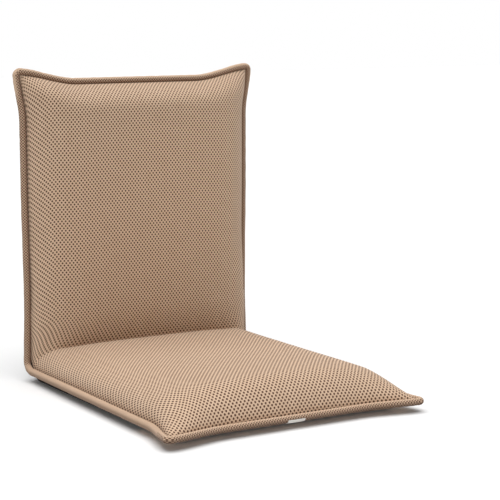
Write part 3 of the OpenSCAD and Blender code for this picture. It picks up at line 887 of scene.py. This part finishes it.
def pad_foam(name, length, width, rise, matrix):
    """The foam of one half under its cover, a little lower by the fold so that it folds without showing."""
    t, v = foam_t[:, None], foam_v[None, :]
    near = foam_near(t)[1]
    far = end_at(t * (side_at(PAD_START + (length - PAD_START) * v, length) - SEAM_IN), length) - SEAM_IN - FOAM_IN
    y = near + (far - near) * v
    x = t * (side_at(y, length) - SEAM_IN - FOAM_IN)
    z = SEAM_HIGH + (CROWN_H - SEAM_HIGH) * width(t, y) * rise(far - y) - FOAM_IN
    z = z - PAD_DIP * width(t, y) * (1 - ease((y - PAD_START) / PAD_DIP_RUN))
    floor_y = y.copy()
    floor_y[:, 0] = PAD_START
    floor_z = np.minimum(PAD_FLOOR, z - PAD_LEAST)
    floor_z[[0, -1]], floor_z[:, -1] = z[[0, -1]] - PAD_LEAST, z[:, -1] - PAD_LEAST
    top, floor = np.stack([x, y, z], -1), np.stack([x, floor_y, floor_z], -1)
    return foam_block(name, placed(top, matrix), placed(floor, matrix))


seat_pad = pad_foam("seat_pad", SEAT_LEN, seat_width, front_rise, SEAT)
back_pad = pad_foam("back_pad", BACK_LEN, back_width, top_rise, BACK)


def fold_foam():
    """The foam over the hinges, between the two halves' pads."""
    t = foam_t[6:-6]
    ridge, near = foam_near(t)
    high = ridge - FOAM_IN
    top = fold_lines(t * (HALF_W - SEAM_IN - FOAM_IN), high, near - PAD_GAP)
    floor = top.copy()
    for i, (far_lip, low_lip) in enumerate(zip(near - LIP_SHORT[0], high - FOLD_RISE - LIP_SHORT[1])):
        crease = top[i, len(fold_shares) // 2, 2] - AXIS[2]
        deep = min(FOLD_FLOOR, crease - PAD_LEAST)
        out = [far_lip, FOLD_KNEE[0], deep, FOLD_KNEE[1], low_lip]
        floor[i, :, 1] = AXIS[1] - np.interp(fold_shares, FLOOR_STOPS, out)
        floor[i, :, 2] = AXIS[2] + np.interp(fold_shares, FLOOR_STOPS, out[::-1])
    return foam_block("fold_pad", top, floor)


fold_pad = fold_foam()


# Foam cores inside the frames
def core_slab(bm, x, near, far, corner=0):
    """A slab as thick as the frame's tubes, with upright corners rounded at its far end."""
    made = bmesh.ops.create_cube(bm, size=1)["verts"]
    for v in made:
        v.co = (v.co.x * 2 * x, near + (v.co.y + 0.5) * (far - near), TUBE_Z + v.co.z * 2 * CORE_HALF_T)
    if corner:
        own = [e for e in bm.edges if e.verts[0] in made]
        uprights = [e for e in own if abs(e.verts[0].co.z - e.verts[1].co.z) > 1]
        far_ones = [e for e in uprights if e.verts[0].co.y > (near + far) / 2]
        bmesh.ops.bevel(bm, geom=far_ones, offset=corner, segments=10, profile=0.5, affect="EDGES", material=-1)


def core(name, length, matrix):
    """The foam inside one frame, on both sides of its cross tube."""
    bm = bmesh.new()
    core_slab(bm, CORE_HALF_W, CROSS_TUBE[1], length - CORE_END_IN, CORE_CORNER)
    core_slab(bm, NEAR_CORE_HALF_W, PAD_START, CROSS_TUBE[0])
    rims = [e for e in bm.edges if e.calc_face_angle(0) > 1]
    bmesh.ops.bevel(bm, geom=rims, offset=CORE_EDGE, segments=3, profile=0.5, affect="EDGES", material=-1)
    bmesh.ops.transform(bm, matrix=Matrix.Scale(MM, 4) @ matrix, verts=bm.verts)
    bmesh.ops.recalc_face_normals(bm, faces=bm.faces[:])
    made = piece(name, bm, [CORE_FOAM], smooth_angle=40)
    return made


seat_core = core("seat_core_pad", SEAT_LEN, SEAT)
back_core = core("back_core_pad", BACK_LEN, BACK)


# Elastic straps, hooked down over the rails
def strap_set(name, length, matrix):
    bm = bmesh.new()
    a = np.radians(np.linspace(0, STRAP_WRAP, 10)[1:])
    hook = np.stack([RAIL_X + STRAP_R * np.sin(a), TUBE_Z + STRAP_R * np.cos(a)], -1)
    flat = np.linspace(-RAIL_X, RAIL_X, 41)
    line = np.concatenate([hook[::-1] * [-1, 1], np.stack([flat, TUBE_Z + STRAP_R + 0 * flat], -1), hook])
    for middle in np.linspace(STRAP_START, length - STRAP_END_IN, STRAPS):
        y = middle + np.linspace(-STRAP_W / 2, STRAP_W / 2, 7)
        grid = np.stack(np.broadcast_arrays(line[:, None, 0], y[None, :], line[:, None, 1]), -1)
        grid = placed(grid, matrix)
        strap, _ = grid_mesh(grid, (run_lengths(grid, 0, len(grid) // 2), run_lengths(grid, 1, 3)))
        gathered(bm, strap)
    faced(bm, matrix.col[2].xyz)
    return thicken(piece(name, bm, [WEBBING]), STRAP_T, 0)


seat_straps = strap_set("seat_elastic", SEAT_LEN, SEAT)
back_straps = strap_set("back_elastic", BACK_LEN, BACK)


# Felt boards
def felt_board(name, length, rise, taper, first, matrix):
    flat_end = length - END_PULL - rise
    y = np.linspace(first, flat_end - BOARD_GAP, 25)[None, :]
    t = np.linspace(-1, 1, 25)[:, None]
    x = t * (HALF_W - 2 * FLAT_INSET - taper * y / flat_end)
    grid = placed(np.stack([x, y + 0 * x, BOARD_LEVEL + 0 * x], -1), matrix)
    return thicken(sheet_piece(name, grid, 12, 0, matrix.col[2].xyz, FELT, smooth_angle=30), BOARD_T, 1)


seat_felt = felt_board("seat_felt", SEAT_LEN, FRONT_RISE, FLAT_TAPER, GRIP_START, SEAT)
back_felt = felt_board("back_felt", BACK_LEN, TOP_RISE, 0, ZIP_AT + ZIP_SLOT, BACK)

# Zip: two tapes with their teeth, in the slot of the rear cloth
ZIP_SIDE = HALF_W - FLAT_INSET - 0.5
ZIP_MID = ZIP_AT + ZIP_SLOT / 2
TAPE_LEVEL = -14.95
TAPE_T = 0.5
TAPE_LINES = np.array([10.6, 7.5, 4.5, 1.6, 1.0])
TAPE_RISES = np.array([0.0, -0.05, -0.1, 0.05, 0.05])
TEETH_SIDE = ZIP_SIDE - 3
TOOTH_PITCH = 2.4
TOOTH_SIZE = (1.5, 2.6, 0.9)
TOOTH_TIP = 0.75
TOOTH_EDGE = 0.18
TOOTH_OUT = 0.95
TOOTH_LEVEL = -14.93


def zip_tapes():
    bm = bmesh.new()
    x = np.linspace(-ZIP_SIDE, ZIP_SIDE, 91)[:, None]
    for side in (-1, 1):
        y = ZIP_MID + side * TAPE_LINES[None, :]
        grid = placed(np.stack(np.broadcast_arrays(x, y, TAPE_LEVEL + TAPE_RISES[None, :]), -1), BACK)
        tape, _ = grid_mesh(grid, (run_lengths(grid, 0, 45), run_lengths(grid, 1, 4)))
        faced(tape, (0, 1, 0))
        gathered(bm, tape)
    return thicken(piece("zip_tapes", bm, [ZIP_TAPE]), TAPE_T, -1)


def zip_teeth():
    """Two rows of small moulded teeth that meet between the tapes."""
    bm = bmesh.new()
    wide, tall, thick = TOOTH_SIZE
    for side in (-1, 1):
        for n in range(int(2 * TEETH_SIDE / TOOTH_PITCH)):
            x = -TEETH_SIDE + (n + 0.5 * (side > 0)) * TOOTH_PITCH
            y = ZIP_MID + side * TOOTH_OUT
            for v in bmesh.ops.create_cube(bm, size=1)["verts"]:
                tip = TOOTH_TIP if v.co.y * side < 0 else 1
                v.co = (x + v.co.x * wide * tip, y + v.co.y * tall, TOOTH_LEVEL + v.co.z * thick)
    bmesh.ops.bevel(bm, geom=bm.edges[:], offset=TOOTH_EDGE, segments=1, profile=0.5, affect="EDGES", material=-1)
    bmesh.ops.transform(bm, matrix=Matrix.Scale(MM, 4) @ BACK, verts=bm.verts)
    bmesh.ops.recalc_face_normals(bm, faces=bm.faces[:])
    return piece("zip_teeth", bm, [PLASTIC], smooth_angle=30)


tapes, teeth = zip_tapes(), zip_teeth()

# Bare label: a tape that comes out under the front roll and turns up in front of it
LABEL_HALF_W = 17.5
LABEL_BOW = 0.5
LABEL_T = 0.5
LABEL_OUT = (546.5, 549.5, 552.4, 554.9, 556.7, 557.6)
LABEL_UP = (-6.6, -7.9, -7.7, -6.2, -4.2, -1.6)


def label():
    stops, fine = range(len(LABEL_OUT)), np.linspace(0, len(LABEL_OUT) - 1, 31)
    x = np.linspace(-LABEL_HALF_W, LABEL_HALF_W, 15)[:, None]
    y = np.interp(fine, stops, LABEL_OUT)[None, :] - LABEL_BOW * (x / LABEL_HALF_W) ** 2
    z = np.interp(fine, stops, LABEL_UP)[None, :]
    grid = placed(np.stack(np.broadcast_arrays(x, y, z), -1), SEAT)
    return thicken(sheet_piece("label", grid, 7, 0, (0, -1, -1), LABEL), LABEL_T, 1)


tag = label()

# What each piece stands for, and what it moves with. A piece with no body lies over the fold; it is left
# unattached, with its place baked into its points
STANDS_FOR = [
    (mesh_cover, "mesh_fabric", ["seat_top_cover", "back_front_cover", "fold_cover"], None),
    (edge_roll, "roll_fabric", ["seat_edge_roll", "back_edge_roll", "fold_roll_left", "fold_roll_right"], None),
    (rear_cloth, "mesh_fabric", ["seat_under_cover", "back_rear_cover", "fold_rear_cover"], None),
    (fold_pad, "foam", ["fold_foam"], None),
    (grip_sheet, "nonslip_sheet", ["nonslip_base"], "seat"),
    (seat_pad, "foam", ["seat_foam"], "seat"),
    (back_pad, "foam", ["back_foam"], "back"),
    (seat_core, "foam", ["seat_core"], "seat"),
    (back_core, "foam", ["back_core"], "back"),
    (seat_straps, "elastic_webbing", ["seat_straps"], "seat"),
    (back_straps, "elastic_webbing", ["back_straps"], "back"),
    (seat_felt, "felt", ["seat_board"], "seat"),
    (back_felt, "felt", ["back_board"], "back"),
    (tapes, "zip_tape", ["zip_tape"], "back"),
    (teeth, "zip_tape", [], "back"),
    (tag, "label_tape", ["label_tab"], "seat"),
]
for made, slot_name, nodes, body in STANDS_FOR:
    if nodes:
        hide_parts(*nodes)
    if body:
        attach(made, body)
    else:
        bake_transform(made)


# Bare fittings keep their shapes and get their finishes
PAIRED = ("seat_hinge_arm", "cheek_inner", "cheek_outer", "hinge_axle", "pawl_pin", "pawl")
PAIRS = [f"{part}_{side}" for part in PAIRED for side in ("left", "right")]
FITTINGS = [
    (FRAME_STEEL, ["seat_frame", "back_frame", "seat_cross_tube", "back_cross_tube"]),
    (ZINC, [*PAIRS, "seat_arm_spacers", "seat_arm_rivets", "cheek_spacers", "back_arm_rivets"]),
    (SPRING, ["pawl_spring_left", "pawl_spring_right"]),
    (ZIP_METAL, ["zip_slider", "zip_pull"]),
    (PLASTIC, ["seat_tube_plugs", "back_tube_plugs"]),
]
for finish, names in FITTINGS:
    for name in names:
        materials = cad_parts[name].data.materials
        materials.clear()
        materials.append(finish)

# Floor, light and camera
GLOW = 0.03
SOFT_LIGHT = 0.22
SUN_ENERGY = 3.0
SUN_ANGLE = 70
SUN_FROM = Vector((-0.1, -0.09, 1))
CAMERA_AT = (-1.515291, -2.623617, 0.732916)
AZIMUTH, ELEVATION = math.radians(-31.36006), math.radians(8.577994)
SENSOR = 36
FOCAL_PIXELS = 1653.376
PICTURE_PIXELS = 500
FLOOR_HALF = 12
FLOOR_DROP = 0.0002


def floor_finish():
    """White floor, with a slight glow for the camera and for what is seen by reflection or through glass."""
    f = Finish("floor", roughness=0.9)
    seen = f.node("LightPath").most(f.node("LightPath", out=3)).most(f.node("LightPath", out=6))
    f.feed("Base Color", f.blend(f.noise(3) * 0.02, tone(242, 242, 242), tone(239, 239, 239)))
    f.feed("Emission Color", f.node("CombineColor", {0: seen, 1: seen, 2: seen}))
    f.shader.inputs["Emission Strength"].default_value = GLOW
    return f.material


def studio_world():
    """Soft white light all round, and full white where the surroundings are seen."""
    world = bpy.data.worlds.new("studio")
    world.use_nodes = True
    tree = world.node_tree
    tree.nodes.clear()

    def made(kind, **settings):
        node = tree.nodes.new("ShaderNode" + kind)
        for key, value in settings.items():
            setattr(node, key, value)
        return node

    path, mix, out = made("LightPath"), made("MixShader"), made("OutputWorld")
    either, seen = made("Math", operation="MAXIMUM"), made("Math", operation="MAXIMUM")
    lights = [made("Background"), made("Background")]
    for light, strength in zip(lights, (SOFT_LIGHT, 1)):
        light.inputs["Color"].default_value = (1, 1, 1, 1)
        light.inputs["Strength"].default_value = strength
    links = [
        (path.outputs["Is Camera Ray"], either.inputs[0]),
        (path.outputs["Is Transmission Ray"], either.inputs[1]),
        (either.outputs[0], seen.inputs[0]),
        (path.outputs["Is Glossy Ray"], seen.inputs[1]),
        (seen.outputs[0], mix.inputs[0]),
        (lights[0].outputs[0], mix.inputs[1]),
        (lights[1].outputs[0], mix.inputs[2]),
        (mix.outputs[0], out.inputs["Surface"]),
    ]
    for source, target in links:
        tree.links.new(source, target)
    return world


bm = bmesh.new()
bmesh.ops.create_grid(bm, x_segments=8, y_segments=8, size=FLOOR_HALF)
for v in bm.verts:
    v.co.z = -FLOOR_DROP
floor = piece("floor", bm, [floor_finish()])

scene = bpy.context.scene
scene.world = studio_world()

sun = bpy.data.lights.new("top_light", "SUN")
sun.energy = SUN_ENERGY
sun.angle = math.radians(SUN_ANGLE)
lamp = bpy.data.objects.new("top_light", sun)
scene.collection.objects.link(lamp)
lamp.rotation_euler = SUN_FROM.to_track_quat("Z", "Y").to_euler()

camera = bpy.data.objects.new("camera", bpy.data.cameras.new("camera"))
scene.collection.objects.link(camera)
camera.location = CAMERA_AT
out = math.cos(ELEVATION)
view_back = Vector((math.sin(AZIMUTH) * out, -math.cos(AZIMUTH) * out, math.sin(ELEVATION)))
camera.rotation_euler = (-view_back).to_track_quat("-Z", "Y").to_euler()
camera.data.sensor_width = SENSOR
camera.data.lens = FOCAL_PIXELS / PICTURE_PIXELS * SENSOR
scene.camera = camera
scene.view_settings.view_transform = "Standard"
